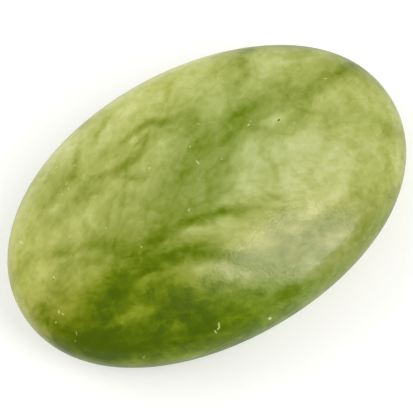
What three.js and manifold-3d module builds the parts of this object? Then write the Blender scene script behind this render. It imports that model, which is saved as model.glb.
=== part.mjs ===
// A palm stone of pale green jade, shaped and tumble-polished into a thick oval pillow.
// One solid piece. It lies on a small flat spot worn into its belly.
// Millimetres, +Z up, long axis along X. The origin is under the middle of the stone, on the flat spot's plane.

import * as THREE from "three";
import { mergeVertices } from "three/addons/utils/BufferGeometryUtils.js";
import Module from "manifold-3d";

// Outer size of the finished stone.
const LENGTH = 60;
const WIDTH = 39.5;
const THICKNESS = 17;

// The widest line runs round the stone a little below half its height, so the top is the taller dome.
const BELLY_SHARE = 0.47;

// Powers of the superellipses that bound the stone: 2 is a plain ellipse, and more is fuller at the corners.
const PLAN_FULLNESS = 2.07;
const SECTION_FULLNESS = 2.35;

// The +X end is a little thicker than the other, as a share of the thickness.
const WEDGE = 0.035;

// The flat spot's length along X. The dome's curve gives its width.
const REST_SPOT_LENGTH = 16;

// Broad, very shallow waves that grinding by hand leaves in the surface:
// height in mm, waves over the stone's length, width and thickness, and where the wave starts, in radians.
const GRINDING_WAVES = [
  { height: 0.09, across: [1.3, 0.7, 0.2], start: 0.6 },
  { height: 0.06, across: [-0.9, 1.6, 0.4], start: 2.1 },
  { height: 0.04, across: [2.4, 1.1, -0.6], start: 4.4 },
];

// Rows of triangles along each edge of the 20-sided start shape, less one.
const SURFACE_DETAIL = 17;

// Height of the block that cuts the flat spot, which reaches well below the belly.
const SPOT_CUTTER_HEIGHT = 10;

const wasm = await Module();
wasm.setup();

// How far out a direction's point moves, from 1 on the plain ellipsoid to where it meets the fuller stone.
function fullness(unit) {
  const plan =
    Math.abs(unit.x) ** PLAN_FULLNESS + Math.abs(unit.y) ** PLAN_FULLNESS;
  const section =
    plan ** (SECTION_FULLNESS / PLAN_FULLNESS) +
    Math.abs(unit.z) ** SECTION_FULLNESS;
  return section ** (-1 / SECTION_FULLNESS);
}

// The height of the grinding waves at a point given in shares of the half sizes.
function grindingHeight(share) {
  return GRINDING_WAVES.reduce((sum, wave) => {
    const [alongX, alongY, alongZ] = wave.across;
    const turns = (alongX * share.x + alongY * share.y + alongZ * share.z) / 2;
    return sum + wave.height * Math.sin(2 * Math.PI * turns + wave.start);
  }, 0);
}

// The surface point that a direction from the stone's middle reaches.
// The belly is ground truest, so the waves die out towards its middle, and only the top is wedged.
function stonePoint(unit) {
  const share = unit.clone().multiplyScalar(fullness(unit));
  const isTop = unit.z > 0;
  const depth = isTop ? 1 - BELLY_SHARE : BELLY_SHARE;
  const wedge = isTop ? 1 + WEDGE * share.x : 1;
  const out = (grindingHeight(share) * (1 + share.z)) / 2;
  return new THREE.Vector3(
    (share.x * LENGTH) / 2 + out * unit.x,
    (share.y * WIDTH) / 2 + out * unit.y,
    share.z * depth * THICKNESS * wedge + out * unit.z,
  );
}

// How far the flat spot's plane lies above the lowest point of the unworn belly.
function spotDepth() {
  const reach = REST_SPOT_LENGTH / LENGTH;
  const heightThere = (1 - reach ** SECTION_FULLNESS) ** (1 / SECTION_FULLNESS);
  return BELLY_SHARE * THICKNESS * (1 - heightThere);
}

function pebbleGeometry() {
  const geometry = new THREE.IcosahedronGeometry(1, SURFACE_DETAIL);
  const position = geometry.getAttribute("position");
  const unit = new THREE.Vector3();
  for (let i = 0; i < position.count; i++) {
    unit.fromBufferAttribute(position, i).normalize();
    const point = stonePoint(unit);
    position.setXYZ(i, point.x, point.y, point.z);
  }
  return geometry;
}

// A three.js geometry as a manifold-3d solid.
function toSolid(geometry) {
  const bare = geometry.clone();
  bare.deleteAttribute("normal");
  bare.deleteAttribute("uv");
  const merged = mergeVertices(bare, 1e-4);
  return new wasm.Manifold(
    new wasm.Mesh({
      numProp: 3,
      vertProperties: merged.getAttribute("position").array,
      triVerts: new Uint32Array(merged.index.array),
    }),
  );
}

// A manifold-3d solid as a three.js geometry.
function toGeometry(solid) {
  const mesh = solid.getMesh();
  const geometry = new THREE.BufferGeometry();
  geometry.setAttribute(
    "position",
    new THREE.BufferAttribute(new Float32Array(mesh.vertProperties), 3),
  );
  geometry.setIndex(new THREE.BufferAttribute(mesh.triVerts, 1));
  return geometry;
}

// The pebble with its flat spot cut, moved to the part's frame and brought to its exact size.
function stoneGeometry() {
  const pebble = pebbleGeometry();
  pebble.computeBoundingBox();
  const planeZ = pebble.boundingBox.min.z + spotDepth();
  const cutter = new THREE.BoxGeometry(LENGTH, WIDTH, SPOT_CUTTER_HEIGHT);
  cutter.translate(0, 0, planeZ - SPOT_CUTTER_HEIGHT / 2);
  const stone = toGeometry(toSolid(pebble).subtract(toSolid(cutter)));

  stone.computeBoundingBox();
  const size = stone.boundingBox.getSize(new THREE.Vector3());
  const middle = stone.boundingBox.getCenter(new THREE.Vector3());
  stone.translate(-middle.x, -middle.y, -stone.boundingBox.min.z);
  stone.scale(LENGTH / size.x, WIDTH / size.y, THICKNESS / size.z);
  stone.computeVertexNormals();
  return stone;
}

const polishedJade = new THREE.MeshStandardMaterial({
  color: 0x9fac52,
  roughness: 0.28,
  metalness: 0,
});

const palmStone = new THREE.Group();
const stone = new THREE.Mesh(stoneGeometry(), polishedJade);
stone.name = "jade_stone";
palmStone.add(stone);

export default palmStone;
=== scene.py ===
# %% [markdown]
# # A polished jade palm stone
# One thick oval pebble of pale green jade. It was sawn from rock, ground to a pillow shape by hand and
# then tumbled with ever finer grit until it shone. Everything that the eye reads as jade is in three
# things: a very simple, very even shape, a cloudy green body with veins in it, and a soft polish with a
# few pits that the grit never reached. The cells below make them in that order.

import math

import bmesh
import bpy
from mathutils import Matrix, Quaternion, Vector


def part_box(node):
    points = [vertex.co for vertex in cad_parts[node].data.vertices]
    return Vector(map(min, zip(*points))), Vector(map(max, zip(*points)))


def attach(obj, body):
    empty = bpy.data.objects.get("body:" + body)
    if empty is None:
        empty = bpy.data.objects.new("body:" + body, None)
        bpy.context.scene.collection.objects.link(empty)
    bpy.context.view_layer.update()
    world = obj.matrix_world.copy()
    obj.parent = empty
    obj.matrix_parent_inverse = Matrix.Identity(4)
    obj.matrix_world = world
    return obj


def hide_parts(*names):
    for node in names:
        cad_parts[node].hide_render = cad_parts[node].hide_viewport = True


MM = 0.001

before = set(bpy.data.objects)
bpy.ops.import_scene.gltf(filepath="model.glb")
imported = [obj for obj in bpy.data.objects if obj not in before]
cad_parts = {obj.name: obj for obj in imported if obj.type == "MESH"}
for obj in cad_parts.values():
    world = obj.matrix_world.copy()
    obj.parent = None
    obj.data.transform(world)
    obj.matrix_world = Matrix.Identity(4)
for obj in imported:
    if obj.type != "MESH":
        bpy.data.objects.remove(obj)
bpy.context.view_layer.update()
stone_low, stone_high = (Vector(corner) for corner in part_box("jade_stone"))
stone_size = stone_high - stone_low
print("stone, mm:", [round(side / MM, 2) for side in stone_size])

# %% [markdown]
# ## The camera
# The stone is seen from high up and in front, turned so that its thicker end points up to the right. A
# long lens keeps the oval from swelling at the near side.

# %% Camera
CAMERA_AZIMUTH = math.radians(-32.5)
CAMERA_ELEVATION = math.radians(70)
CAMERA_DISTANCE = 238 * MM
CAMERA_LENS = 150
NEAREST_SEEN = 10 * MM
FARTHEST_SEEN = 10
AIM = Vector((-0.75, -0.6, 8.5)) * MM

toward_camera = Vector((
    math.sin(CAMERA_AZIMUTH) * math.cos(CAMERA_ELEVATION),
    -math.cos(CAMERA_AZIMUTH) * math.cos(CAMERA_ELEVATION),
    math.sin(CAMERA_ELEVATION),
))
camera_data = bpy.data.cameras.new("camera")
camera_data.lens = CAMERA_LENS
camera_data.clip_start = NEAREST_SEEN
camera_data.clip_end = FARTHEST_SEEN
camera = bpy.data.objects.new("camera", camera_data)
camera.location = AIM + toward_camera * CAMERA_DISTANCE
camera.rotation_euler = toward_camera.to_track_quat("Z", "Y").to_euler()
bpy.context.scene.collection.objects.link(camera)
bpy.context.scene.camera = camera
print("camera at, mm:", [round(value / MM) for value in camera.location])

# %% [markdown]
# ## One helper for nodes
# Shapes and materials are both node trees here. This function adds one node, sets its options, and fills
# or links its inputs in order or by name. Every tree below is built with it, so a line reads as one node.

# %% Node helper
MATH = "ShaderNodeMath"
VECTOR = "ShaderNodeVectorMath"


def add_node(tree, kind, inputs=(), **options):
    """Adds a node and returns it. An input is a node or socket to link, a value to set, or None to leave."""
    node = tree.nodes.new(kind)
    for name, value in options.items():
        setattr(node, name, value)
    pairs = inputs.items() if isinstance(inputs, dict) else enumerate(inputs)
    for key, value in pairs:
        if isinstance(value, bpy.types.Node):
            value = value.outputs[0]
        if isinstance(value, bpy.types.NodeSocket):
            tree.links.new(value, node.inputs[key])
        elif value is not None:
            node.inputs[key].default_value = value
    return node


# %% [markdown]
# ## Geometry trees with named sizes
# A geometry tree is a recipe that a modifier runs. Its sizes are named inputs, so that anyone can open
# the tree in Blender and turn them. Here the recipe is run once, its result is kept as a plain mesh, and
# the modifier is taken off again.

# %% A new tree with one input for each size
SOCKET_KINDS = {
    int: "NodeSocketInt",
    float: "NodeSocketFloat",
    Vector: "NodeSocketVector",
    bpy.types.Material: "NodeSocketMaterial",
}


def new_geometry_tree(name, sizes):
    """A geometry node tree that takes and gives geometry, with one named input for each size."""
    tree = bpy.data.node_groups.new(name, "GeometryNodeTree")
    tree.interface.new_socket("Geometry", in_out="INPUT", socket_type="NodeSocketGeometry")
    tree.interface.new_socket("Geometry", in_out="OUTPUT", socket_type="NodeSocketGeometry")
    for size_name, value in sizes.items():
        tree.interface.new_socket(size_name, in_out="INPUT", socket_type=SOCKET_KINDS[type(value)])
    return tree


# %% A modifier that runs the tree once
def run_geometry_tree(tree, sizes, name):
    """Runs a tree on an empty mesh and returns what it makes as a plain mesh object at the origin."""
    start = bpy.data.meshes.new(name + "_start")
    holder = bpy.data.objects.new(name + "_holder", start)
    bpy.context.scene.collection.objects.link(holder)
    modifier = holder.modifiers.new(name, "NODES")
    modifier.node_group = tree
    for socket in tree.interface.items_tree:
        if socket.in_out == "INPUT" and socket.name in sizes:
            modifier[socket.identifier] = sizes[socket.name]
    bpy.context.view_layer.update()
    evaluated = holder.evaluated_get(bpy.context.evaluated_depsgraph_get())
    made = bpy.data.meshes.new_from_object(evaluated)
    made.name = name
    # The cube in the tree brings an empty material slot along, so only the last slot is kept.
    finish = made.materials[-1]
    made.materials.clear()
    made.materials.append(finish)
    holder.modifiers.remove(modifier)
    bpy.data.objects.remove(holder)
    bpy.data.meshes.remove(start)
    piece = bpy.data.objects.new(name, made)
    bpy.context.scene.collection.objects.link(piece)
    return piece


# %% [markdown]
# ## The stone's shape
# The outline in plan is a superellipse, a shade fuller than an ellipse, and so is the section, which
# gives the pillow look. It could be sculpted, or subdivided from a cage, but a stone ground to an even
# oval follows a rule, so Geometry Nodes work it out: a cube is blown up to a ball, each point is pushed
# out to the superellipse, and three broad waves, far too shallow to see as bumps, bend the reflections as
# hand grinding does. The lowest part is worn to a small flat spot with a soft edge, and that is what the
# stone lies on.
#
# The outer sizes come from the frame, and the shares and powers are those that the stone was designed
# with.

# %% Sizes of the shape
jade = bpy.data.materials.new("polished_jade")
PEBBLE_SIZES = {
    "Material": jade,
    "Length": stone_size.x,
    "Width": stone_size.y,
    "Thickness": stone_size.z,
    "Belly Share": 0.47,
    "Plan Fullness": 2.07,
    "Section Fullness": 2.35,
    "Wedge": 0.035,
    "Rest Spot Length": 16 * MM,
    "Rest Spot Edge": 0.03 * MM,
    "Grid Lines": 121,
    "Lowest Corner": stone_low,
    "Highest Corner": stone_high,
}
GRINDING_WAVES = (
    {"height": 0.09 * MM, "across": (1.3, 0.7, 0.2), "start": 0.6},
    {"height": 0.06 * MM, "across": (-0.9, 1.6, 0.4), "start": 2.1},
    {"height": 0.04 * MM, "across": (2.4, 1.1, -0.6), "start": 4.4},
)


# %% [markdown]
# ## From a cube to a pebble
# A ball made of a cube's six faces has even squares all over, with no pole where they crowd, so a polish
# shows no pinch. The tangent spaces the squares evenly on the ball. Then each direction is pushed out
# until the sum of its powers is one, which is what a superellipse is, and the three waves are added on
# top.

# %% From a cube to the unworn pebble
def add_unworn_pebble(tree, size):
    """Nodes that blow a cube up to the superellipse with its grinding waves."""
    # The cube runs from -1 to 1, so a coordinate in it is a share of the way out.
    cube = add_node(tree, "GeometryNodeMeshCube", {
        "Size": (2, 2, 2),
        "Vertices X": size["Grid Lines"],
        "Vertices Y": size["Grid Lines"],
        "Vertices Z": size["Grid Lines"],
    })
    place = add_node(tree, "GeometryNodeInputPosition")
    angle = add_node(tree, VECTOR, {0: place, "Scale": math.pi / 4}, operation="SCALE")
    even = add_node(tree, VECTOR, (angle,), operation="TANGENT")
    unit = add_node(tree, VECTOR, (even,), operation="NORMALIZE")

    # How far out each direction reaches, as a share of the half sizes.
    along = add_node(tree, VECTOR, (unit,), operation="ABSOLUTE")
    x, y, z = add_node(tree, "ShaderNodeSeparateXYZ", (along,)).outputs
    plan_power, section_power = size["Plan Fullness"], size["Section Fullness"]
    x_part = add_node(tree, MATH, (x, plan_power), operation="POWER")
    y_part = add_node(tree, MATH, (y, plan_power), operation="POWER")
    z_part = add_node(tree, MATH, (z, section_power), operation="POWER")
    plan = add_node(tree, MATH, (x_part, y_part), operation="ADD")
    power_ratio = add_node(tree, MATH, (section_power, plan_power), operation="DIVIDE")
    plan_part = add_node(tree, MATH, (plan, power_ratio), operation="POWER")
    total = add_node(tree, MATH, (plan_part, z_part), operation="ADD")
    root = add_node(tree, MATH, (-1.0, section_power), operation="DIVIDE")
    reach = add_node(tree, MATH, (total, root), operation="POWER")
    share = add_node(tree, VECTOR, {0: unit, "Scale": reach}, operation="SCALE")

    # The waves are full at the top and fade out toward the belly, which is ground truest.
    out = 0.0
    for wave in GRINDING_WAVES:
        across = add_node(tree, VECTOR, (share, wave["across"]), operation="DOT_PRODUCT").outputs["Value"]
        turn = add_node(tree, MATH, (across, math.pi, wave["start"]), operation="MULTIPLY_ADD")
        swing = add_node(tree, MATH, (turn,), operation="SINE")
        out = add_node(tree, MATH, (swing, wave["height"], out), operation="MULTIPLY_ADD")
    share_x, share_y, share_z = add_node(tree, "ShaderNodeSeparateXYZ", (share,)).outputs
    fade = add_node(tree, MATH, (share_z, 0.5, 0.5), operation="MULTIPLY_ADD")
    out = add_node(tree, MATH, (out, fade), operation="MULTIPLY")
    wave_step = add_node(tree, VECTOR, {0: unit, "Scale": out}, operation="SCALE")

    # The dome above the widest line is taller than the belly below it, and only the dome is wedged.
    is_top = add_node(tree, MATH, (share_z, 0.0), operation="GREATER_THAN")
    dome_less_belly = add_node(tree, MATH, (size["Belly Share"], -2.0, 1.0), operation="MULTIPLY_ADD")
    depth = add_node(tree, MATH, (is_top, dome_less_belly, size["Belly Share"]), operation="MULTIPLY_ADD")
    top_wedge = add_node(tree, MATH, (is_top, size["Wedge"]), operation="MULTIPLY")
    wedge = add_node(tree, MATH, (share_x, top_wedge, 1.0), operation="MULTIPLY_ADD")
    height = add_node(tree, MATH, (size["Thickness"], depth), operation="MULTIPLY")
    wedged_height = add_node(tree, MATH, (height, wedge), operation="MULTIPLY")
    half_length = add_node(tree, MATH, (size["Length"], 0.5), operation="MULTIPLY")
    half_width = add_node(tree, MATH, (size["Width"], 0.5), operation="MULTIPLY")
    half_sizes = add_node(tree, "ShaderNodeCombineXYZ", (half_length, half_width, wedged_height))
    place = add_node(tree, VECTOR, (share, half_sizes, wave_step), operation="MULTIPLY_ADD")
    return add_node(tree, "GeometryNodeSetPosition", {"Geometry": cube, "Position": place})


# %% [markdown]
# ## The spot that it lies on
# A stone that is rocked and slid on a table wears flat where it touches. Cutting it with a Boolean would
# leave a hard rim that real wear doesn't have, so a smooth maximum lifts every point that is lower than
# the spot's plane, and rounds the edge a little. After that the pebble is fitted to its box in the frame,
# to the micron.

# %% The worn flat spot
def add_rest_spot(tree, size, pebble):
    """Nodes that wear the lowest part of the pebble flat."""
    section_power = size["Section Fullness"]
    place = add_node(tree, "GeometryNodeInputPosition")
    x, y, z = add_node(tree, "ShaderNodeSeparateXYZ", (place,)).outputs
    spot_share = add_node(tree, MATH, (size["Rest Spot Length"], size["Length"]), operation="DIVIDE")
    taken = add_node(tree, MATH, (spot_share, section_power), operation="POWER")
    left = add_node(tree, MATH, (1.0, taken), operation="SUBTRACT")
    root = add_node(tree, MATH, (1.0, section_power), operation="DIVIDE")
    height_there = add_node(tree, MATH, (left, root), operation="POWER")
    drop = add_node(tree, MATH, (1.0, height_there), operation="SUBTRACT")
    belly = add_node(tree, MATH, (size["Belly Share"], size["Thickness"]), operation="MULTIPLY")
    lowest = add_node(tree, "GeometryNodeAttributeStatistic", {"Geometry": pebble, "Attribute": z})
    plane = add_node(tree, MATH, (belly, drop, lowest.outputs["Min"]), operation="MULTIPLY_ADD")
    worn = add_node(tree, MATH, (z, plane, size["Rest Spot Edge"]), operation="SMOOTH_MAX")
    place = add_node(tree, "ShaderNodeCombineXYZ", (x, y, worn))
    return add_node(tree, "GeometryNodeSetPosition", {"Geometry": pebble, "Position": place})


# %% The whole recipe
def build_pebble_tree(sizes):
    """The tree that makes the pebble, wears its flat spot and fits it to its box."""
    tree = new_geometry_tree("pebble", sizes)
    size = add_node(tree, "NodeGroupInput").outputs
    pebble = add_rest_spot(tree, size, add_unworn_pebble(tree, size))
    # Each point's share of the way across the pebble's own box gives its place in the frame's box.
    box = add_node(tree, "GeometryNodeBoundBox", (pebble,)).outputs
    place = add_node(tree, "GeometryNodeInputPosition")
    from_corner = add_node(tree, VECTOR, (place, box["Min"]), operation="SUBTRACT")
    span = add_node(tree, VECTOR, (box["Max"], box["Min"]), operation="SUBTRACT")
    part = add_node(tree, VECTOR, (from_corner, span), operation="DIVIDE")
    true_span = add_node(tree, VECTOR, (size["Highest Corner"], size["Lowest Corner"]), operation="SUBTRACT")
    fitted = add_node(tree, VECTOR, (part, true_span, size["Lowest Corner"]), operation="MULTIPLY_ADD")
    stone = add_node(tree, "GeometryNodeSetPosition", {"Geometry": pebble, "Position": fitted})
    smooth = add_node(tree, "GeometryNodeSetShadeSmooth", {"Geometry": stone})
    real = add_node(tree, "GeometryNodeRealizeInstances", (smooth,))
    finished = add_node(tree, "GeometryNodeSetMaterial", {"Geometry": real, "Material": size["Material"]})
    add_node(tree, "NodeGroupOutput", (finished,))
    return tree


# %% Make the stone
stone = run_geometry_tree(build_pebble_tree(PEBBLE_SIZES), PEBBLE_SIZES, "jade_palm_stone")
print("stone:", len(stone.data.vertices), "points,", len(stone.data.polygons), "faces")

# %% [markdown]
# ## Jade
# Jade is a felt of tiny fibres that light enters and leaves again, so its colour sits below the polish.
# Where the felt is clean the stone is deep green, and where it is clouded by white mineral it is pale and
# milky. So one number at each point, its paleness, gives nearly the whole colour, from deep green at 0 to
# cream green at 1. The number is built up as the stone was: large soft pools and clouds first, then
# bands, then veins and fibre.

# %% Colours of jade, from clean and deep to clouded and pale
JADE_COLOURS = (
    (-0.30, "465900"),
    (0.00, "4d6200"),
    (0.17, "637700"),
    (0.33, "7e8d29"),
    (0.50, "959f46"),
    (0.67, "aab25b"),
    (0.83, "bcc374"),
    (1.00, "ccd28f"),
    (1.30, "e6e8b8"),
)


def linear_colour(code):
    """An sRGB hex colour as the linear colour that a shader needs."""
    shares = [int(code[i:i + 2], 16) / 255 for i in (0, 2, 4)]
    return [s / 12.92 if s <= 0.04045 else ((s + 0.055) / 1.055) ** 2.4 for s in shares] + [1]
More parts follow.
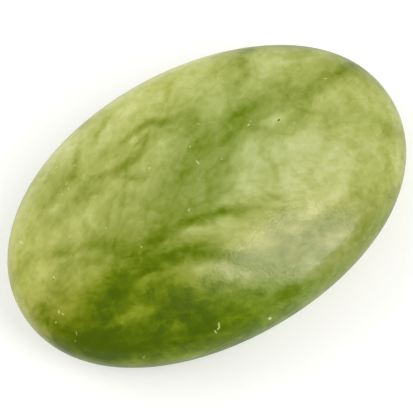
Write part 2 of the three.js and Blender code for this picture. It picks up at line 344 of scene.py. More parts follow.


# %% [markdown]
# ## Pools, clouds and bands
# These are what make this stone this stone: a deep pool along the front left, a great pale cloud on the
# right, an olive channel that winds round behind the cloud to the pool, and thin veins in the upper left.
# Noise alone would put such things anywhere, and a picture laid over the top would smear down the sides.
# So each is set one by one, as a painter would with a soft round brush, from the broad fields down to
# the short veins. Each is a soft oval body that reaches down into the stone, as a cloud in the rock does,
# so the sides show it too, cut through.

# %% Pools, clouds and bands, as they lie on this stone
# Each marking has a name, its middle in mm along and across the stone, its length, its width, its
# turn in degrees and the paleness that it adds.
# Most markings are the stone's own colour. The pale far rims marked below are painted light.
COMMON_PALENESS = 0.58
MARKINGS = (
    # Broad pale fields, and the shades in them.
    ("crest field", -1, 16, 26, 7, 2, 0.25),
    # These two are painted light: pale bands along the far rim, where light shines through the thin edge.
    ("crest rim", 3, 19, 24, 3, 0, 0.22),
    ("crest rim, right", 9.4, 18.4, 8, 2, -8, 0.16),
    ("crest, pale dome", 9, 17.2, 5, 3, -8, 0.07),
    ("crest rim, left", -6.5, 18.4, 9, 2.4, -3, -0.09),
    ("crest, pale by the streak", -0.6, 15.4, 8, 3, 0, 0.14),
    ("left shoulder field", -16.5, 12, 15, 7, 32, 0.13),
    ("shoulder shade", -18, 13.6, 7, 3, 42, -0.1),
    ("left of the arcs, shade", -14.8, 11.8, 6.6, 4.6, -7, -0.09),
    # Painted light: a pale band along the upper left rim, where light shines through the thin edge.
    ("upper left rim", -16, 16, 15, 3, 30, 0.16),
    ("left cheek", -25, 8, 9, 6, 60, 0.19),
    ("left cheek, shade", -22.2, 8.3, 4.6, 3, 35, -0.16),
    ("left end field", -26, 1.6, 7, 4, 2, 0.12),
    ("left end, pale bar", -24.8, 1.6, 4.4, 1.4, 12, 0.16),
    ("left end, shade", -25.6, -1.8, 4, 2.2, 10, -0.18),
    ("upper right field", 18, 10.8, 9, 6, -20, 0.16),
    ("upper field", 5.6, 9, 10, 4, 0, 0.08),
    ("great cloud", 12, -5, 15, 10, -12, 0.18),
    ("right end field", 23, -7, 6, 9, 15, 0.1),
    ("right end, pale cheek", 26.8, -0.6, 4, 7, 10, 0.28),
    ("pale foot of the left", -20.5, -2, 5, 1.8, 0, 0.06),
    ("left foot shade", -19, -3.4, 9, 2.4, 0, -0.16),
    # The deep pool in front, and what floats in it.
    ("pool, body", -17, -12.4, 24, 8, -24, -0.44),
    ("pool, low body", -10.5, -14.6, 13, 4.5, -28, -0.02),
    ("pool, lower left", -20, -12.4, 7, 3, -36, -0.14),
    ("pool, left end", -25.5, -9, 9, 5, -55, -0.21),
    ("pool, left depth", -22.5, -8.6, 7, 5, -20, -0.16),
    ("pool, left rim", -27, -8, 9, 3, -62, -0.07),
    ("pool rim, shade", -27.2, -5.7, 5, 2.4, 64, -0.16),
    ("pool, middle rim", -18, -15.5, 14, 3, -28, -0.11),
    ("pool, right rim", -8.5, -18.4, 9, 2.2, -12, -0.14),
    ("pool, upper edge", -18.5, -5.8, 11, 3.4, -6, -0.29),
    ("pool, upper rim", -12.4, -4.4, 5.6, 2.2, -10, -0.12),
    ("pool, core of the left", -17.8, -5.6, 3.4, 2.6, -20, -0.1),
    ("pool, left core, foot", -20.6, -7.3, 3, 2.6, -30, -0.1),
    ("pool, under the cloud", -12.9, -11.8, 4.4, 1.8, -34, -0.08),
    ("pool, upper middle", -13, -6, 7, 4, -25, -0.2),
    ("pool, upper right", -11, -5.4, 8, 4, -10, -0.05),
    ("pool, right depth", -9.6, -13.6, 7, 3, -62, 0.02),
    ("pool, steep shade", -6.6, -14.6, 6, 3, -68, -0.14),
    ("pool, right end", -8, -17, 10, 4.6, -16, -0.14),
    ("pool, far right", 2, -18.8, 9, 3, 2, -0.18),
    ("pool, left mottle", -23.8, -7.4, 2.6, 1.6, -10, 0.12),
    ("pool edge, pale", -23.8, -5.8, 3.4, 3.2, 30, 0.12),
    ("pool rim, pale", -26, -4.8, 2, 2.4, 0, 0.11),
    ("pool, small mottle", -20.4, -9.4, 2.4, 1, -10, 0.06),
    ("pool, long mottle", -17.4, -10.1, 7, 1.4, -12, 0.12),
    ("under the long mottle", -13.2, -10.8, 8, 2.4, -34, -0.14),
    ("long mottle, left half", -18.8, -10.1, 4.4, 2, -12, 0.14),
    ("pool, upper mottle", -15, -7.4, 2.4, 1.6, 20, 0.16),
    ("pool, pale mottle", -12.4, -8.4, 2.6, 1.4, 0, 0.02),
    ("pool, high mottle", -11.3, -6.9, 1.4, 1.1, 0, 0.12),
    ("pool, low mottle", -14.2, -14.2, 2.4, 0.8, -18, 0.1),
    ("pool, mottle by the core", -18.2, -9.2, 2.4, 1.4, -10, 0.09),
    ("pool, mottle, right", -15.6, -10.8, 1.8, 1.2, -10, 0.08),
    ("pool, mottle at the top", -15.4, -5.9, 1.5, 1.7, 0, 0.13),
    # The dark band and the pale tongues on each side of it.
    ("dark band, upper", -12, -6.6, 6, 1.8, -8, -0.19),
    ("dark band, middle", -7.6, -7.8, 7, 2.2, -30, -0.34),
    ("dark band, start", -8.6, -4.6, 5, 2.4, -20, -0.12),
    ("dark band, end", -6.2, -7, 4.4, 2.4, -30, -0.2),
    ("dark band, foot", -8.4, -8.8, 4, 1.8, 34, -0.12),
    ("dark band, tail", -3.8, -10.2, 4, 1.4, -38, -0.12),
    ("upper tongue, start", -8, -4.6, 4, 1.2, -8, 0.02),
    ("upper tongue, middle", -4, -6.6, 5, 1.8, -27, 0.1),
    ("upper tongue, end", 0, -9.3, 5, 3, -30, 0.3),
    ("lower tongue, middle", -7, -10, 5, 1.6, -22, 0.06),
    ("lower tongue, end", -4, -12.8, 5, 1.8, -52, 0.18),
    ("front cloud, left", -3, -13.6, 6, 3.4, 45, 0.07),
    ("shade under the tongues", -8.5, -11.6, 8, 3.6, -25, -0.16),
    ("shade by the lower tongue", -4.4, -11.6, 3.4, 2, -26, -0.14),
    ("shade right of the mottles", -13, -8.4, 7, 1.6, -6, -0.14),
    ("over the tongues, left", -9, -3.4, 7, 1.8, -6, -0.26),
    ("over the tongues, middle", -3.6, -4.2, 6, 1.8, -18, -0.31),
    ("over the tongues, right", 0.6, -5.8, 6, 1.6, -24, -0.28),
    ("over the tongues, tail", 5, -7.8, 3.6, 0.9, -28, -0.1),
    ("shade left of the tongues", -17, -1, 12, 4, -8, -0.1),
    # The great pale cloud and the veiled front.
    ("cloud, left", 3.8, -3.6, 3.4, 4, 0, 0.14),
    ("cloud, left edge", 0.4, -3.2, 2.6, 2.4, 0, 0.14),
    ("cloud, middle", 8.6, -5.8, 4.6, 3.4, -10, 0.24),
    ("cloud, upper left", 6.2, -1, 4, 2, 63, 0.12),
    ("cloud, upper", 12.6, -2, 6, 3, -12, 0.14),
    ("cloud, right", 16.6, -7, 4, 4, 0, 0.14),
    ("cloud, low right", 14.4, -9, 3.4, 4, -20, 0.16),
    ("cloud, low left", 8.6, -9.8, 4.4, 2.6, -47, 0.12),
    ("cloud, top right", 17.6, -4.6, 6, 2.2, 5, 0.13),
    ("cloud, lower", 12, -10.8, 6, 2, 0, 0.14),
    ("cloud, olive thread", 8, -3.4, 4, 0.8, 75, -0.12),
    ("cloud, second thread", 6.2, -6.6, 3.4, 0.7, -60, -0.12),
    ("cloud over the pool", 3.4, -11.4, 8, 2.4, -12, 0.06),
    ("front cloud, right", 11.2, -15.8, 5, 2.2, 8, 0.06),
    ("olive between the clouds", 11.5, -13.6, 6, 1.4, -8, -0.05),
    ("front streak, pale", 10.6, -14, 5, 2.6, 15, 0.13),
    ("front, under the clouds", 6.5, -13.6, 8, 2.4, -6, -0.06),
    ("front rim, middle", 4, -19, 18, 2.4, 2, -0.16),
    ("front rim, low", -1, -19.4, 4, 1.6, 0, -0.08),
    ("front, right of the pool", 14, -13, 10, 4, 8, -0.1),
    ("front rim, far right", 20.5, -14.2, 8, 2.4, 38, -0.26),
    ("front shade", 2.6, -15.6, 12, 4, -8, -0.06),
    ("front shade, low", -1, -16.6, 7, 2.8, -20, -0.08),
    ("shade under the sheen", 5, -12.6, 18, 6, -8, -0.2),
    ("shade under the sheen, left", 1, -13.6, 6, 3, -20, -0.06),
    ("shade under the sheen, right", 9, -12.6, 8, 4, 0, -0.08),
    ("front, pale foot", 3.4, -16.8, 14, 4, -4, -0.04),
    ("front rim, right", 15, -16.6, 7, 2, 24, -0.14),
    ("front rim, low right", 12, -18, 8, 1.6, 15, -0.09),
    # The right end.
    ("right end, olive", 16.2, -11, 4, 2, 10, -0.1),
    ("right front, pale", 16, -12, 6, 3, 20, 0.1),
    ("right end, dark", 25.4, -6, 3, 2.6, 0, -0.02),
    ("right end, low shade", 25, -8, 6, 3, 48, -0.12),
    ("right end, pale rim", 24.2, -9.8, 6, 2.2, 58, 0.18),
    ("right end, low pale", 20.4, -12.6, 4, 2.6, 30, 0.14),
    ("right end, upper pale", 22, 1.4, 6, 2.8, 0, 0.2),
    ("right end, upper shade", 25.7, 2.3, 4.6, 3.6, -69, -0.08),
    ("right end, shade", 21, -1.2, 5, 3, -10, -0.05),
    ("right end, faint line", 16.5, 1.8, 3.4, 0.8, -50, -0.14),
    # The olive channel from the right end round to the pool.
    ("channel, bed", 2, 3, 18, 7, 18, -0.14),
    ("channel, bed on the right", 21, 4.4, 15, 2.6, 2, -0.12),
    ("channel, far right", 25, 5, 5, 1.5, 0, -0.16),
    ("channel, right foot", 18, 3.8, 4, 1.2, 20, -0.12),
    ("channel, middle right", 13, 5.6, 5, 1.5, -4, -0.12),
    ("channel, dark core", 8.9, 5.6, 5, 1.5, 8, -0.22),
    ("channel, upper side", 12.4, 7, 5, 1.6, 0, -0.1),
    ("channel, dark foot", 6, 3.7, 4.4, 1.6, 12, -0.2),
    ("channel, turn", 2.6, 5, 4.4, 2.4, 30, -0.12),
    ("channel, upper branch", 2.6, 8.2, 3.2, 1.4, 55, -0.1),
    ("pale by the branch", 6.4, 8.6, 4, 2.4, 20, 0.2),
    ("channel, knee", -1, 3.4, 4, 2.4, 40, -0.08),
    ("channel, right heel", 3.6, 1.4, 3.6, 1.2, 20, -0.16),
    ("channel, heel", -0.4, -0.8, 5, 2.4, 60, -0.1),
    ("heel shade", 2.2, -1, 4.4, 2.2, 72, -0.12),
    ("channel, wide foot", -5, 1.2, 7, 3, 10, -0.06),
    ("channel, lower foot", -5, -1.6, 9, 2.6, -6, -0.18),
    ("channel foot, pale", -2.6, -0.8, 5, 3, 0, 0.12),
    ("channel foot, pale spot", -6.8, -1.1, 3.6, 2.4, -74, 0.1),
    ("channel, left", -9.6, -2, 9, 2.8, 0, -0.22),
    ("channel, over the band", -11.8, -4.2, 6, 2, -6, -0.14),
    ("channel, to the pool", -15, -2.4, 5, 2.6, -14, -0.08),
    ("channel, dark spot", -16.4, 0, 4, 1.8, -42, -0.16),
    ("channel, island foot", -15.2, 0.9, 4, 2.2, -20, -0.14),
    ("channel, left arm", -20, 2, 6, 1.4, -14, -0.14),
    ("left of the channel", -18.8, -1.1, 3, 2.6, 0, -0.14),
    ("left arm, shade", -21.4, 3.4, 5, 2.2, 20, -0.18),
    ("left end, low shade", -22, -0.6, 8, 2.4, -6, -0.1),
    # Veins and clouds of the upper left.
    ("upper arc, left", -8.6, 11.0, 4, 0.7, 14, -0.08),
    ("upper arc, middle", -4, 11.5, 5.5, 0.8, 0, -0.2),
    ("upper arc, right", -1.4, 10.8, 4, 1.3, -18, -0.26),
    ("arcs, right foot", 2.2, 9.5, 5, 2.4, 37, -0.13),
    ("lower arc, left", -11.2, 8.5, 4, 0.9, -10, -0.14),
    ("lower arc, middle", -7.6, 8.1, 4.4, 1.2, 6, -0.22),
    ("lower arc, right", -4.3, 9.6, 3.2, 0.8, 32, -0.2),
    ("lens between the arcs", -8, 9.5, 7, 0.9, 4, 0.06),
    ("small lens", -5.5, 10.6, 1.6, 0.7, 12, 0.2),
    ("small lens, under side", -5.3, 10, 1.8, 0.4, 12, -0.14),
    ("stub under the arc", -2.8, 9.1, 1.8, 0.8, 75, -0.12),
    ("olive patch", -13.6, 8.1, 5.5, 2.2, 12, -0.14),
    ("olive patch, left", -18.6, 7, 5, 1.8, 20, -0.16),
    ("olive field", -16.6, 10.8, 5, 2.6, 10, -0.12),
    ("shoulder streak", -13.2, 12.8, 5, 1.0, 50, -0.22),
    ("shoulder vein", -8.4, 14.6, 4.6, 0.9, 42, -0.24),
    ("shoulder, pale streak", -14, 14.6, 4, 2, 45, 0.12),
    ("pale island", -17.4, 4.2, 6, 2.6, 15, 0.16),
    ("pale island, top", -14.8, 5, 3, 2, 40, 0.16),
    ("pale island, left", -20.6, 5.2, 4, 2.4, 30, 0.14),
    ("pale island, right", -11, 6.2, 5, 1.6, 14, 0.02),
    ("streak by the island", -11.6, 3.6, 5, 0.8, 50, -0.14),
    ("brown line", -8.8, 6.4, 3.6, 0.8, -40, -0.12),
    ("pale under the arc", -6.5, 7, 3, 2.2, 40, 0.12),
    ("pale wedge", -3.4, 7.2, 3.4, 2.6, 20, 0.14),
    ("left end, olive", -26.8, 4.4, 5, 1.6, 8, -0.14),
    ("left end, olive streak", -24.6, 6.4, 3, 1.2, 55, -0.1),
    ("left end, brown", -27.8, -3.2, 3, 2.6, 0, -0.2),
    ("left end, shaded", -24.5, -3.2, 3, 2.4, 0, -0.12),
    # The upper right.
    ("crest streak", 13.6, 12, 3.4, 1.2, 60, -0.18),
    ("crest streak, top", 15, 14.4, 6, 2.4, 25, -0.16),
    ("crest foot", 11.2, 10.2, 3.4, 1.4, 20, -0.08),
    ("under the crest streak", 13.6, 9.6, 7, 3.4, 14, 0.15),
    ("crest, left streak", 2.4, 14.4, 3.8, 1.2, 50, -0.18),
    ("crest, by the streak", 11.4, 15.4, 3.4, 2.4, -8, -0.08),
    ("crest, pale field", 7.4, 12.8, 8, 6, 5, 0.1),
    ("crest, right pale", 17.4, 11.6, 5, 3, -40, 0.12),
    ("pale by the upper rim", 23.8, 8.8, 5.4, 3, 22, 0.25),
    ("crest, olive field", 15.8, 7.2, 4, 2, 0, -0.08),
    ("upper right shade", 21.6, 11.6, 12, 5, -38, -0.1),
    ("pale by the pit", 12, 2.7, 3, 1.8, -10, 0.22),
    ("pale under the core", 7, 1.2, 4, 1.6, 10, 0.12),
    ("under the pit", 13.8, 1, 6, 2.2, 0, -0.19),
)
# How high the middle of each body lies, how deep it is, both in mm, and the share of it that fades.
CLOUD_HEIGHT = 13
CLOUD_DEPTH = 26
CLOUD_EDGE = 0.9

# %% [markdown]
# ## Painted shade along the far rim
# Along the far right rim the colour is painted a deep olive. It is painted shade, where that side falls
# away from the light, and four ovals crowd together there. If they went as deep as the others, they
# would add up to a flat dark patch low on the side, which shows from behind. So these are laid in flat,
# and stop where the side turns down.

# %% The far rim
# Painted shade: these ovals darken the far right rim, where that side falls away from the light.
FAR_RIM_PAINTED_SHADE = (
    ("far right rim", 28, 3, 4, 12, -12, -0.2),
    ("upper right rim", 24.5, 12, 3, 11, 60, -0.26),
    ("upper right rim, end", 26.6, 9, 1.8, 7, 42, -0.26),
    ("upper right edge", 26.2, 9.9, 8, 1.4, -48, -0.16),
)
RIM_HEIGHT = 12.5
RIM_DEPTH = 7

print("markings:", len(MARKINGS) + len(FAR_RIM_PAINTED_SHADE))

# %% [markdown]
# ## Tints
# Paleness alone gives one row of greens, and real jade wanders off it. A little iron makes it yellower,
# and where there is none it is a cooler green. Clean jade takes nearly all the blue out of the light, and
# milky jade gives it back. So two more sets of soft ovals say how much of the red and of the blue stays.
# Three of them also paint the sheen's warm grey over the front, a painted reflection in the colour.

# %% Warmer, cooler, cleaner and milkier parts
# Each is laid out like a marking. The last number is added to the share of red that stays, or in the
# second list to the share of blue.
WARM_PATCHES = (
    ("iron, left end", -28, 2, 12, 20, 0, 0.05),
    ("iron, lower left rim", -27.5, -6, 8, 9, 0, 0.06),
    ("cool heart", 6, 5, 20, 14, 20, -0.07),
    ("cool, toward the pool", -2, -4, 12, 9, 40, -0.03),
    ("cool foot of the pool", -4, -17.5, 20, 7, -10, -0.11),
    ("cool right end", 24, -1, 14, 16, 0, -0.02),
    # Painted reflection: a warm tint laid where the softbox's sheen lies, for the sheen's warm grey.
    ("warm tint of the painted sheen", 5, -13.8, 17, 7, -4, 0.09),
)
MILKY_PATCHES = (
    ("clean pool", -18, -10.5, 18, 8, -22, -0.5),
    ("clean pool, right", -11, -12.8, 10, 6, -40, -0.35),
    ("clean pool, top", -18.5, -4.8, 10, 5, -10, -0.3),
    ("clean foot of the pool", -7, -17.2, 15, 6, -14, -0.45),
    ("clean crest", 6, 17.4, 30, 7, 2, -0.22),
    ("clean left end", -29, 5, 10, 18, 0, -0.16),
    ("milky heart", 5, 0, 20, 14, 20, 0.2),
    ("milky cloud", 14, -6, 18, 12, -12, 0.16),
    ("milky middle", -6, 0, 16, 12, 0, 0.14),
    # Partly milky jade and partly painted reflection: blue laid under the sheen, for its grey haze.
    ("milk under the painted sheen", 4, -13.4, 16, 7, -4, 0.2),
    ("milky lower tongue", -2, -13.8, 12, 5, -34, 0.4),
    # Partly milky jade and partly painted reflection: blue laid along the front rim, for the sheen's haze.
    ("milk and painted sheen, front rim", 8, -17.2, 18, 5, 12, 0.45),
)
PATCH_EDGE = 1.0
print("tints:", len(WARM_PATCHES) + len(MILKY_PATCHES))

# %% [markdown]
# ## Painted glints and pits
# Here and there a tiny pit or scratch in the skin catches the light, and each glint is painted into the
# colour as a pale spot. In a few places the grit tore out a crumb and left a dark pit, and its shade is
# painted in as a dark spot. Most are under half a millimetre, but they tell the eye how near the surface
# is. They are ovals too, only tiny ones that stay in the upper half. Modelling holes this small would
# cost far more faces than they are worth.

# %% Painted glints, and the painted shade of tiny pits, on the polished face
# Each is laid out like a marking. One that adds paleness is a painted glint, and one that takes
# paleness away is the painted shade of a pit or a scratch.
GLINTS_AND_PIT_SHADES = (
    ("left end streak", -25.3, 7.4, 0.22, 0.8, 20, 0.3),
    ("left end dot", -24.3, 0.3, 0.22, 0.4, -30, 0.28),
    ("shoulder", -15.9, 13.8, 0.5, 0.2, 20, 0.25),
    ("shoulder foot", -16.1, 10.5, 0.5, 0.18, 40, 0.22),
    ("shoulder foot, second", -16.3, 9.6, 0.18, 0.4, 0, 0.22),
    ("shoulder, left", -17.4, 9.5, 0.4, 0.18, 60, 0.22),
    ("shoulder, right", -13.8, 12.2, 0.45, 0.18, -20, 0.22),
    ("by the brown line", -5.9, 5.7, 0.35, 0.2, 0, 0.3),
    ("by the island", -15.1, 1.8, 0.2, 0.35, 10, 0.22),
    ("channel, upright", 0, 2.8, 0.2, 0.8, 8, 0.35),
    ("channel, dot", 0.4, 5.3, 0.3, 0.2, 0, 0.3),
    ("core, left", 8.8, 3.8, 0.45, 0.2, 25, 0.38),
    ("core, right", 9.3, 4.1, 0.3, 0.18, 0, 0.3),
    ("by the pit", 14.3, 0.8, 0.22, 0.2, 0, 0.22),
    ("right end", 22.1, 4.6, 0.45, 0.2, -15, 0.36),
    ("heel", 3, 1.4, 0.2, 0.25, 0, 0.26),
    ("crest", 9.4, 12.4, 0.22, 0.2, 0, 0.2),
    ("branch", 3.2, 7.6, 0.2, 0.35, 30, 0.24),
    ("pool rim", -26.1, -3.9, 0.5, 0.25, 60, 0.36),
    ("pool rim, foot", -25.8, -4.4, 0.22, 0.45, 10, 0.24),
    ("pool rim, second", -27.1, -4.7, 0.3, 0.22, 0, 0.24),
    ("pool, left", -25.6, -7.5, 0.5, 0.18, 70, 0.28),
    ("pool, left foot", -26.2, -8.1, 0.25, 0.2, 0, 0.2),
    ("over the pool", -12.5, -3.1, 0.25, 0.2, 0, 0.36),
    ("over the tongues", -4.6, -2.3, 0.5, 0.25, 30, 0.24),
    ("squiggle, upper", -9.1, -16.8, 0.22, 0.65, -25, 0.52),
    ("squiggle, middle", -9.4, -17.1, 0.5, 0.2, 15, 0.48),
    ("squiggle, lower", -9.9, -17.2, 0.2, 0.55, 20, 0.44),
    ("front rim", -2.5, -19.2, 0.5, 0.25, -10, 0.75),
    ("pool foot", -19.6, -14.7, 0.3, 0.2, 0, 0.28),
    ("front cloud", 3.4, -15.7, 0.3, 0.2, 0, 0.2),
    ("right rim", 20.6, -14, 0.4, 0.2, 20, 0.2),
    ("dark pit", 12.7, 2.2, 0.4, 0.22, 20, -0.8),
    ("dark scratch, front", 6.2, -14, 1.4, 0.14, -12, -0.18),
    ("dark dot, front", 2.8, -16.6, 0.24, 0.2, 0, -0.24),
    ("dark dot, front right", 9, -14.4, 0.3, 0.18, 0, -0.18),
    ("dark dot, left", -24.5, 0.1, 0.2, 0.2, 0, -0.3),
)
FLECK_HEIGHT = 15
FLECK_DEPTH = 16
FLECK_EDGE = 0.5
PAINTED_GLINT_COLOUR = "c3cc98"
print("flecks and pits:", len(GLINTS_AND_PIT_SHADES))

# %% [markdown]
# ## Soft ovals as nodes
# A Mapping node of the texture kind carries the stone's own coordinates into an oval, where its edge is
# at a distance of one. A spherical gradient then falls from one in the middle to nothing at that edge,
# and a Map Range rounds the fall off, so no oval shows a rim. Object coordinates run through the whole
# stone, so nothing has to be unwrapped.


# %% Soft ovals
def add_markings(tree, place, markings, total, height, depth, edge):
    """Nodes that add soft ovals to a total. The edge is the share of an oval over which it fades."""
    # An oval's size is given where it has faded by half, so its own edge lies farther out.
    half_way = 1 - edge / 2
    for name, x, y, length, width, turn, added in markings:
        oval = add_node(tree, "ShaderNodeMapping", {
            "Vector": place,
            "Location": (x * MM, y * MM, height * MM),
            "Rotation": (0, 0, math.radians(turn)),
            "Scale": [size * MM / 2 / half_way for size in (length, width, depth)],
        }, vector_type="TEXTURE", label=name)
        nearness = add_node(tree, "ShaderNodeTexGradient", (oval,), gradient_type="SPHERICAL")
        soft = add_node(tree, "ShaderNodeMapRange", {
            "Value": nearness.outputs["Fac"], "From Max": edge, "To Max": added,
        }, interpolation_type="SMOOTHSTEP")
        total = add_node(tree, MATH, (total, soft), operation="ADD")
    return total


# %% [markdown]
# ## Edges that wander
# A plain oval looks drawn. Where the place itself is shifted a little by noise before anything reads it,
# every edge wanders as if the felt had been kneaded. A shift of about a millimetre, that changes over
# several, bends the bands, and a finer one frays them.


# %% Noise that shifts a place
NOISE_MIDDLE = 0.5


def add_wander(tree, place, size, reach):
    """Nodes that shift a place by noise of a size and reach in mm, so that edges wander."""
    noise = add_node(tree, "ShaderNodeTexNoise", {
        "Vector": place, "Scale": 1 / (size * MM), "Detail": 2.0,
    }).outputs["Color"]
    centred = add_node(tree, VECTOR, (noise, (NOISE_MIDDLE,) * 3), operation="SUBTRACT")
    shift = add_node(tree, VECTOR, {0: centred, "Scale": 2 * reach * MM}, operation="SCALE")
    return add_node(tree, VECTOR, (place, shift), operation="ADD")


# %% [markdown]
# ## Fibre, threads and lumps
# Between the bands the eye sees the felt itself: clouds of a few millimetres, fibre drawn out along the
# flow of the rock, thin dark threads and paler ones, and small lumps with an edge on one side. The flow
# isn't the same all over. Behind the channel it climbs to the right, and in front of it it falls, so the
# fibre is worked out both ways and mixed across the middle. Its real width is a few hundredths of a
# millimetre, too fine for the picture, so it is drawn at half a millimetre and more.


# %% Noise of a size in mm
# Noise seldom leaves this range.
NOISE_LOW = 0.25
NOISE_HIGH = 0.75


def add_noise(tree, place, size, amount, turn=0, stretch=1, detail=3):
    """Nodes that give noise of a grain size in mm, drawn out along a turn, from about -amount to amount."""
    grain = add_node(tree, "ShaderNodeMapping", {
        "Vector": place,
        "Rotation": (0, 0, math.radians(turn)),
        "Scale": (size * MM * stretch, size * MM, size * MM),
    }, vector_type="TEXTURE")
    noise = add_node(tree, "ShaderNodeTexNoise", {"Vector": grain, "Scale": 1.0, "Detail": detail})
    return add_node(tree, "ShaderNodeMapRange", {
        "Value": noise, "From Min": NOISE_LOW, "From Max": NOISE_HIGH, "To Min": -amount, "To Max": amount,
    }, clamp=False)


# %% Fibre along the flow, and threads in it
# The flow's turn in degrees, and how near its middle value the noise counts as thread.
BACK_FLOW = 22
FRONT_FLOW = -26
THREAD_REACH = 0.14


def add_fibres(tree, place, in_front, size, amount, stretch, detail):
    """Nodes for noise drawn out along the flow of the stone, which turns between its back and its front."""
    back = add_noise(tree, place, size, amount, BACK_FLOW, stretch, detail)
    front = add_noise(tree, place, size, amount, FRONT_FLOW, stretch, detail)
    return add_node(tree, "ShaderNodeMix", {"Factor": in_front, "A": back, "B": front})


def add_threads(tree, place, in_front, size, amount):
    """Nodes for thin threads, which lie where drawn-out noise crosses its middle value."""
    fibres = add_fibres(tree, place, in_front, size, amount=1.0, stretch=2.5, detail=1)
    distance = add_node(tree, MATH, (fibres,), operation="ABSOLUTE")
    return add_node(tree, "ShaderNodeMapRange", {
        "Value": distance, "From Max": THREAD_REACH, "To Min": amount, "To Max": 0.0,
    }, interpolation_type="SMOOTHSTEP")


# %% Lumps
def add_lumps(tree, place, size, amount):
    """Nodes that split the stone into lumps of a size in mm, each a shade paler or deeper than the next."""
    lumps = add_node(tree, "ShaderNodeTexVoronoi", {"Vector": place, "Scale": 1 / (size * MM)})
    shade = add_node(tree, "ShaderNodeSeparateColor", (lumps.outputs["Color"],))
    return add_node(tree, "ShaderNodeMapRange", {"Value": shade, "To Min": -amount, "To Max": amount})


# %% [markdown]
# ## The paleness of the stone
# Now the parts are added up. Clouds, bands and fibre read the wandered place, so they bend together. The
# grain, the lumps and the pale threads start from the plain one, because they lie across all that.

# %% Add up the paleness
# Between these two places across the stone, in mm, the flow turns from its front to its back direction.
FLOW_TURNS_AT = (-5, 2)

jade.use_nodes = True
tree = jade.node_tree
surface = tree.nodes["Principled BSDF"]
place = add_node(tree, "ShaderNodeTexCoord").outputs["Object"]
bent = add_wander(tree, place, size=5, reach=1.1)
wandered = add_wander(tree, bent, size=1.4, reach=0.4)
paleness = add_markings(tree, wandered, MARKINGS, COMMON_PALENESS, CLOUD_HEIGHT, CLOUD_DEPTH, CLOUD_EDGE)
# The painted shade of the far rim is added in its own shallow layer.
paleness = add_markings(tree, wandered, FAR_RIM_PAINTED_SHADE, paleness, RIM_HEIGHT, RIM_DEPTH, CLOUD_EDGE)
in_front = add_node(tree, "ShaderNodeMapRange", {
    "Value": add_node(tree, "ShaderNodeSeparateXYZ", (wandered,)).outputs["Y"],
    "From Min": FLOW_TURNS_AT[0] * MM, "From Max": FLOW_TURNS_AT[1] * MM, "To Min": 1.0, "To Max": 0.0,
}, interpolation_type="SMOOTHSTEP")
for layer in (
    # Clouds, then broad and fine fibre, then grain.
    add_noise(tree, wandered, size=6, amount=0.11, detail=2),
    add_fibres(tree, wandered, in_front, size=1.9, amount=0.065, stretch=3, detail=2),
    add_fibres(tree, wandered, in_front, size=0.6, amount=0.03, stretch=4, detail=1),
    add_noise(tree, place, size=1.0, amount=0.05, detail=2),
    # Lumps in two sizes, then dark threads and pale ones.
    add_lumps(tree, add_wander(tree, place, size=0.9, reach=0.5), size=2.2, amount=0.045),
    add_lumps(tree, add_wander(tree, place, size=0.5, reach=0.3), size=1.1, amount=0.03),
    add_threads(tree, wandered, in_front, size=3.8, amount=-0.05),
    add_threads(tree, place, in_front, size=3.0, amount=0.04),
):
    paleness = add_node(tree, MATH, (paleness, layer), operation="ADD")
ragged = add_wander(tree, place, size=0.3, reach=0.12)
# The painted glints and the painted shade of tiny pits, as tiny ovals.
glints_and_pit_shades = add_markings(tree, ragged, GLINTS_AND_PIT_SHADES, 0.0, FLECK_HEIGHT, FLECK_DEPTH, FLECK_EDGE)
paleness = add_node(tree, MATH, (paleness, glints_and_pit_shades), operation="ADD")
print("nodes so far:", len(tree.nodes))

# %% [markdown]
# ## From paleness to colour
# A colour ramp holds the row of greens. Its stops run from 0 to 1, so the paleness is first brought to
# that range. The tint then scales red and blue, and the colour of the painted glints is mixed in last.

# %% Colour of the jade
palest, deepest = JADE_COLOURS[-1][0], JADE_COLOURS[0][0]
shown = add_node(tree, "ShaderNodeMapRange", {"Value": paleness, "From Min": deepest, "From Max": palest})
ramp = add_node(tree, "ShaderNodeValToRGB", (shown,))
# A new ramp has its first and last stop already.
for step, _ in JADE_COLOURS[1:-1]:
    ramp.color_ramp.elements.new((step - deepest) / (palest - deepest))
for stop, (_, code) in zip(ramp.color_ramp.elements, JADE_COLOURS):
    stop.color = linear_colour(code)
red = add_markings(tree, wandered, WARM_PATCHES, 1.0, CLOUD_HEIGHT, CLOUD_DEPTH, PATCH_EDGE)
blue = add_markings(tree, wandered, MILKY_PATCHES, 1.0, CLOUD_HEIGHT, CLOUD_DEPTH, PATCH_EDGE)
tint = add_node(tree, "ShaderNodeCombineXYZ", (red, 1.0, blue))
tinted = add_node(tree, VECTOR, (ramp, tint), operation="MULTIPLY")
# The colour of the painted glints is mixed in where they lie.
with_painted_glints = add_node(tree, "ShaderNodeMix", {
    "Factor": glints_and_pit_shades, "A": tinted, "B": linear_colour(PAINTED_GLINT_COLOUR),
}, data_type="RGBA")
tree.links.new(with_painted_glints.outputs["Result"], surface.inputs["Base Color"])

# %% [markdown]
# ## The polish
# Tumbled jade shines softly. It is a little denser than glass, and its felt never takes a mirror finish,
# so a lamp shows as a broad sheen with a soft edge. A grain of a few thousandths of a millimetre, at the
# 0.4 mm that the picture can show, gives the sheen its faint orange peel, and the same bump sinks the
# painted glints a little. The dark pits read as holes by their painted shade.

# %% Polish
JADE_ROUGHNESS = 0.2
JADE_IOR = 1.56
POLISH_GRAIN = 0.4
FLECK_SINK = -3.0
BUMP_HEIGHT = 0.004 * MM

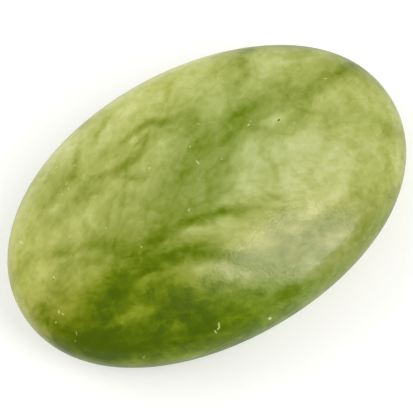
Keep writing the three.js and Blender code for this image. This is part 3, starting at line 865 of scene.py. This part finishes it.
surface.inputs["Roughness"].default_value = JADE_ROUGHNESS
surface.inputs["IOR"].default_value = JADE_IOR
grain = add_noise(tree, place, size=POLISH_GRAIN, amount=1.0, detail=1)
skin = add_node(tree, MATH, (glints_and_pit_shades, FLECK_SINK, grain), operation="MULTIPLY_ADD")
bump = add_node(tree, "ShaderNodeBump", {"Strength": 1.0, "Distance": BUMP_HEIGHT, "Height": skin})
tree.links.new(bump.outputs["Normal"], surface.inputs["Normal"])
print("jade:", len(tree.nodes), "nodes")

# %% [markdown]
# ## The floor
# The stone lies on a white sweep so bright that it shows no corner and hardly any shadow. A polished
# stone also mirrors what it lies on, and a whole sweep of that white would lay a broad pale veil along
# every rim. In a real studio the white sheet is small and its surroundings are duller. So there are two
# discs: the white one is what the camera sees and what lights the stone from below, and a grey one is
# seen by reflections alone. A painted shade darkens the grey one in front of the stone, and the front
# rims mirror that.

# %% Two discs, one to see and one to mirror
FLOOR_RADIUS = 3
FLOOR_SIDES = 96
FLOOR_COLOUR = "e2e2e2"
FLOOR_GLOW = 0.3
MATT_ROUGHNESS = 0.9
MATT_SHINE = 0.2
TABLE_HEIGHT = 0.02 * MM
TABLE_COLOUR = "d3d3d3"
TABLE_FRONT = (-0.54, -0.84, 0)
# A painted shade darkens the table between these two distances in front of the stone's middle.
TABLE_PAINTED_SHADE_SPAN = (18 * MM, 42 * MM)
TABLE_PAINTED_SHADE_DARKEST = 0.25


def add_floor(name, colour, height=0):
    """A wide flat disc of matt material, and the shader that colours it."""
    mesh = bpy.data.meshes.new(name)
    shape = bmesh.new()
    bmesh.ops.create_circle(shape, cap_ends=True, segments=FLOOR_SIDES, radius=FLOOR_RADIUS)
    shape.to_mesh(mesh)
    shape.free()
    matt = bpy.data.materials.new(name)
    matt.use_nodes = True
    matt_surface = matt.node_tree.nodes["Principled BSDF"]
    matt_surface.inputs["Base Color"].default_value = linear_colour(colour)
    matt_surface.inputs["Roughness"].default_value = MATT_ROUGHNESS
    matt_surface.inputs["Specular IOR Level"].default_value = MATT_SHINE
    mesh.materials.append(matt)
    disc = bpy.data.objects.new(name, mesh)
    disc.location.z = height
    bpy.context.scene.collection.objects.link(disc)
    return disc, matt_surface


floor, paper = add_floor("floor", FLOOR_COLOUR)
paper.inputs["Emission Color"].default_value = (1, 1, 1, 1)
paper.inputs["Emission Strength"].default_value = FLOOR_GLOW
floor.visible_glossy = False
table, grey = add_floor("table", TABLE_COLOUR, TABLE_HEIGHT)
table.visible_camera = False
table.visible_diffuse = False
table.visible_shadow = False
print("discs:", floor.name, "and", table.name)

# %% Painted shade: the table darkens toward its front
table_shade_nodes = table.data.materials[0].node_tree
around = add_node(table_shade_nodes, "ShaderNodeTexCoord").outputs["Object"]
forward = add_node(table_shade_nodes, VECTOR, (around, TABLE_FRONT), operation="DOT_PRODUCT").outputs["Value"]
lit = add_node(table_shade_nodes, "ShaderNodeMapRange", {
    "Value": forward, "From Min": TABLE_PAINTED_SHADE_SPAN[0], "From Max": TABLE_PAINTED_SHADE_SPAN[1],
    "To Min": 1.0, "To Max": TABLE_PAINTED_SHADE_DARKEST,
}, interpolation_type="SMOOTHSTEP")
shaded = add_node(table_shade_nodes, VECTOR, {0: linear_colour(TABLE_COLOUR)[:3], "Scale": lit}, operation="SCALE")
table_shade_nodes.links.new(shaded.outputs[0], grey.inputs["Base Color"])

# %% [markdown]
# ## Studio light
# One tall softbox in front and to the right gives the long sheen over the front of the stone, and its
# size sets the sheen's. A fill from behind on the left opens the far side but is kept out of the
# reflections, as a lamp with a grid would be. An even world stands for the light that bounces round the
# room. It is kept out of the reflections as well, because a white ceiling in them would lay a grey veil
# over the deep green.

# %% Softbox, fill and room
def add_softbox(
    name, toward, distance, width, height, brightness,
    colour="ffffff", roll=0, in_reflections=True,
):
    """An area light that faces the stone. Its brightness is in shares of a lit white surface."""
    data = bpy.data.lights.new(name, "AREA")
    data.shape = "RECTANGLE"
    data.size = width
    data.size_y = height
    data.energy = brightness * math.pi * width * height
    data.color = linear_colour(colour)[:3]
    softbox = bpy.data.objects.new(name, data)
    direction = Vector(toward).normalized()
    softbox.location = AIM + direction * distance
    turn = direction.to_track_quat("Z", "Y") @ Quaternion((0, 0, 1), math.radians(roll))
    softbox.rotation_euler = turn.to_euler()
    softbox.visible_glossy = in_reflections
    bpy.context.scene.collection.objects.link(softbox)
    print(name, "at, m:", [round(value, 2) for value in softbox.location])


add_softbox(
    "softbox", toward=(0.35, -0.575, 0.74), distance=0.5, width=0.22, height=0.52,
    brightness=3.7, colour="fffcf6", roll=-6,
)
add_softbox(
    "fill", toward=(-0.55, 0.6, 0.58), distance=0.8, width=0.6, height=0.6,
    brightness=2.1, in_reflections=False,
)

ROOM_LIGHT = (0.62, 0.62, 0.62, 1)
room = bpy.data.worlds.new("room")
room.use_nodes = True
room.node_tree.nodes["Background"].inputs["Color"].default_value = ROOM_LIGHT
room.cycles_visibility.glossy = False
bpy.context.scene.world = room
bpy.context.scene.view_settings.view_transform = "Standard"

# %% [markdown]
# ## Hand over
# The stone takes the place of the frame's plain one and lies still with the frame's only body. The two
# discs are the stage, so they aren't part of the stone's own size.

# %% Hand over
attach(stone, "root")
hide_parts("jade_stone")
